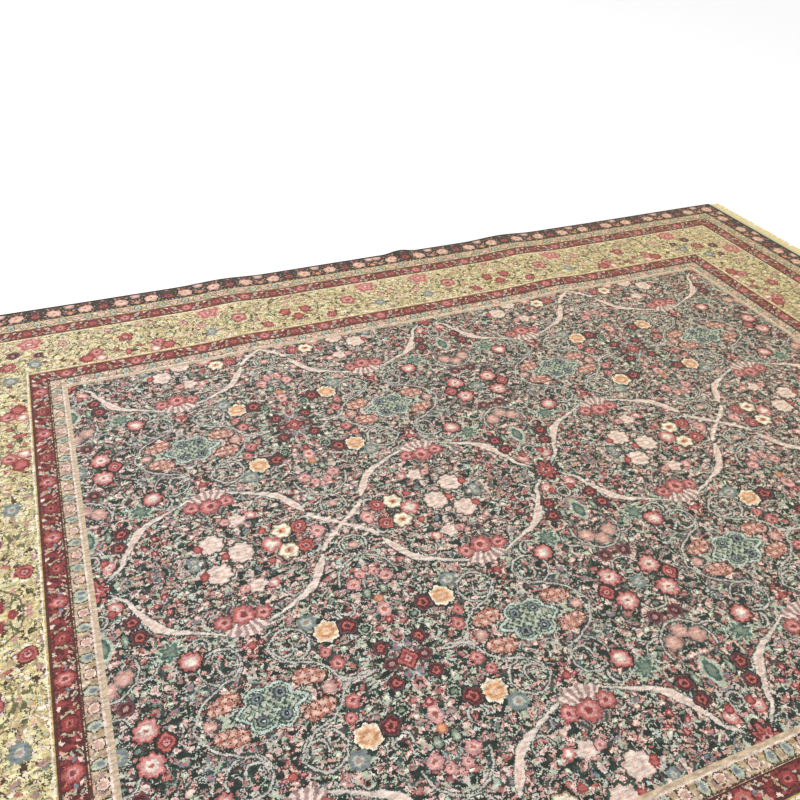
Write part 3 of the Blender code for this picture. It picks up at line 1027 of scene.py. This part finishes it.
def paintMainBorder(fromCorner, depth, onEnd):
    # leaves and twigs on a cream ground, and flowers charted from the tulip, the trefoil and the corner
    drawnIn = (fromCorner - mainBorder["drawInFrom"]).math("MAXIMUM", 0.0) * onEnd * mainBorder["drawIn"]
    run = fromCorner - drawnIn
    local = depth - bandDepths[3]
    tulip, _ = chart((run - mainBorder["tulip"]).math("ABSOLUTE"), local)
    trefoil, net = chart((run - mainBorder["trefoil"]).math("ABSOLUTE"), local)
    corner, _ = chart(run, local)
    colour = patches(net, 0.5, [(0.0, "camel"), (0.38, "straw"), (0.5, "ivory")])
    colour = scatter(colour, net, {
        "apart": 1.6, "seed": 9.4, "slender": 2.6, "size": 0.62, "lean": 0.3, "spread": 1.4,
        "rings": [(1.0, "olive camel umber gold camel olive straw umber"),
                  (0.7, "ivory cream ivory celadon cream ivory sand shell")],
    })
    colour = scatter(colour, net, {
        "apart": 2.4, "seed": 23.4, "slender": 1.5, "size": 0.27,
        "rings": [(1.0, "rose sage umber camel coral olive mauve blush")],
    })
    colour = twigs(colour, net, 0.13, 8.0, 0.045, "olive")
    colour = twigs(colour, net, 0.2, 4.0, 0.03, "umber")
    colour = paintRings(colour, tulip, [
        ring(0.0, 9.5, 7.0, 0.3, "olive", edge=None),
        ring(11.0, 4.5, 2.2, 0.3, "olive", edge=None),
    ])
    colour = paintRings(colour, trefoil, [
        ring(18.0, 9.8, 5.2, 0.4, "camel", edge=None),
        ring(18.0, 9.8, 4.2, 0.3, "olive", edge=None),
        ring(0.0, 8.5, 8.0, 0.35, "olive", edge=None),
    ])
    colour = paintFlowers(colour, tulip, [
        flower(0.0, 8.9, 2.1, "redRose", petals=5, turn=1.57, depth=0.2),
        flower(8.7, 14.4, 2.0, "rose", petals=6),
        flower(11.4, 17.0, 2.1, "redTip", petals=6),
        flower(7.6, 17.8, 1.7, "brightRose"),
        flower(3.0, 14.6, 0.8, "redTip"),
        flower(0.0, 17.0, 0.9, "redTip", squash=0.5),
        flower(4.6, 3.0, 1.2, "pinkRose"),
        flower(17.4, 6.6, 1.4, "pinkRose", petals=5),
    ])
    colour = paintFlowers(colour, trefoil, [
        flower(3.3, 10.4, 2.0, "redTip", petals=5),
        flower(0.0, 14.2, 2.0, "redTip", petals=5),
        flower(0.0, 0.8, 1.6, "rose", petals=5),
        flower(10.3, 16.6, 1.8, "redRose"),
        flower(18.0, 9.8, 2.5, "rose", petals=5, depth=0.12),
        flower(26.3, 3.4, 3.4, "palmette", petals=5, turn=1.57, depth=0.16),
        flower(27.4, 14.6, 1.9, "slateFlower", petals=8),
        flower(29.4, 9.9, 1.3, "pinkRose"),
    ])
    colour = paintFlowers(colour, corner, [
        flower(38.0, 3.8, 3.4, "palmette", petals=5, turn=1.57, depth=0.16),
        flower(33.5, 8.8, 1.9, "plumFlower"),
        flower(32.4, 14.6, 2.0, "redRose"),
        flower(39.2, 15.2, 1.9, "slateFlower", petals=8),
        flower(40.4, 10.6, 1.4, "plumFlower"),
    ])
    edge = local.math("PINGPONG", bands[3]["width"] / 2)
    return layers(colour, ("cream", edge < mainBorder["creamLine"]), ("gold", edge < mainBorder["goldLine"]))


yarn = {"detail": 3.0, "roughness": 0.9, "bumpStrength": 0.4}


def makeYarn(name, dark, light, stretch, bumpDistance):
    # plain yarn between a dark and a light dye, its fibres a stretched noise
    material, start = startMaterial(name)
    place = start.node("ShaderNodeTexCoord", output="Object")
    fibres = start.node("ShaderNodeTexNoise", None, {
        "Vector": place.vector("MULTIPLY", stretch), "Scale": 1.0, "Detail": yarn["detail"],
    })
    colour = start.node("ShaderNodeMix", {"data_type": "RGBA"}, {0: fibres, 6: dye(dark), 7: dye(light)}, 2)
    finishMaterial(start, colour, fibres, yarn["roughness"], yarn["bumpStrength"], bumpDistance)
    return material


print("materials: borders")
borderWools = {
    "darkGuard": makeBorder("wool_dark_guard", paintDarkGuard),
    "outerStripe": makeBorder("wool_outer_stripe", paintStripe, stripes["outerStripe"]),
    "redGuard": makeBorder("wool_red_guard", paintRedGuard),
    "mainBorder": makeBorder("wool_main_border", paintMainBorder),
    "innerStripe": makeBorder("wool_inner_stripe", paintStripe, stripes["innerStripe"]),
}
for band in bands:
    pile.data.materials.append(borderWools[band["name"]])
print("materials: field")
for line in range(field["rows"]):
    for column in range(field["columns"]):
        pile.data.materials.append(makeFieldWool(column, line))


def foldBack(value, half):
    # a triangle wave: how far the value is from the nearest even multiple of half
    return np.abs((value + half) % (2 * half) - half)


# each face's slot: its band of the border, or its part of the field's repeat
columnOf = (foldBack(pileX, field["wide"]) / field["wide"] * field["columns"]).astype(int)
lineOf = (foldBack(pileY, field["tall"]) / field["tall"] * field["rows"]).astype(int)
fieldSlots = len(bands) + np.minimum(lineOf, field["rows"] - 1) * field["columns"]
fieldSlots = fieldSlots + np.minimum(columnOf, field["columns"] - 1)
faceSlots = np.where(pileBand < len(bands), pileBand, fieldSlots).astype(np.int32)
pile.data.polygons.foreach_set("material_index", faceSlots)

print("materials: overcast edges, flat-woven ends and fringe")
for name, dark, light, stretch, bumpDistance, pieces in (
    ("overcast_wool", "ink", "night", (300.0, 900.0, 900.0), 0.001, (farCord, nearCord)),
    ("end_cotton", "celadon", "ivory", (1500.0, 300.0, 300.0), 0.0006, (rightStrip, leftStrip)),
    ("fringe_cotton", "flax", "butter", (150.0, 900.0, 900.0), 0.0006, (rightStrands, leftStrands)),
):
    material = makeYarn(name, dark, light, stretch, bumpDistance)
    for piece in pieces:
        piece.data.materials.append(material)

# Pieces and what they stand for
for piece, node, slot in (
    (pile, "rug_pile", "wool_pile"), (farCord, "edge_cord_far", "edge_wool"),
    (nearCord, "edge_cord_near", "edge_wool"), (rightStrip, "fringe_right", "warp_cotton"),
    (leftStrip, "fringe_left", "warp_cotton"), (rightStrands, "fringe_right", "warp_cotton"),
    (leftStrands, "fringe_left", "warp_cotton"),
):
    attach(piece, "root")
    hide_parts(node)

# Floor, light and camera
print("floor, lights and camera")
studio = {
    "floorSize": 24.0, "floorDrop": 0.0002, "floor": 0.95, "floorRoughness": 0.9,
    "world": 0.98, "key": 110.0, "keySize": 5.0, "keyAt": (-2.6, 3.4, 4.2),
}
floorPoints = np.array([(-1, -1, 0), (1, -1, 0), (1, 1, 0), (-1, 1, 0)]) * studio["floorSize"] / 2.0
floorPoints[:, 2] = -studio["floorDrop"]
floor = addMesh("studio_floor", floorPoints, [(0, 1, 2, 3)], smooth=False)
floorMaterial, floorStart = startMaterial("studio_floor")
finishMaterial(floorStart, (studio["floor"],) * 3 + (1.0,), None, studio["floorRoughness"], 0, 0)
floor.data.materials.append(floorMaterial)

world = bpy.data.worlds.new("studio")
world.use_nodes = True
world.node_tree.nodes["Background"].inputs["Color"].default_value = (1.0, 1.0, 1.0, 1.0)
world.node_tree.nodes["Background"].inputs["Strength"].default_value = studio["world"]
bpy.context.scene.world = world
bpy.context.scene.view_settings.view_transform = "Standard"

lampData = bpy.data.lights.new("key", "AREA")
lampData.size = studio["keySize"]
lampData.energy = studio["key"]
lamp = bpy.data.objects.new("key", lampData)
lamp.matrix_world = Matrix.Translation(studio["keyAt"])
bpy.context.scene.collection.objects.link(lamp)

# where the photographer stood, in metres from the rug's middle, and how the camera was turned
view = {
    "at": (-0.922, -1.180, 1.2946), "turn": -23.89, "tilt": 53.16, "roll": 2.30,
    "focalPixels": 787.0, "frame": 800.0, "sensor": 36.0,
}
cameraData = bpy.data.cameras.new("camera")
cameraData.sensor_width = view["sensor"]
cameraData.lens = view["sensor"] * view["focalPixels"] / view["frame"]
camera = bpy.data.objects.new("camera", cameraData)
turned = Matrix.Rotation(math.radians(view["turn"]), 4, "Z")
turned = turned @ Matrix.Rotation(math.radians(view["tilt"]), 4, "X")
turned = turned @ Matrix.Rotation(math.radians(view["roll"]), 4, "Z")
camera.matrix_world = Matrix.Translation(view["at"]) @ turned
bpy.context.scene.collection.objects.link(camera)
bpy.context.scene.camera = camera
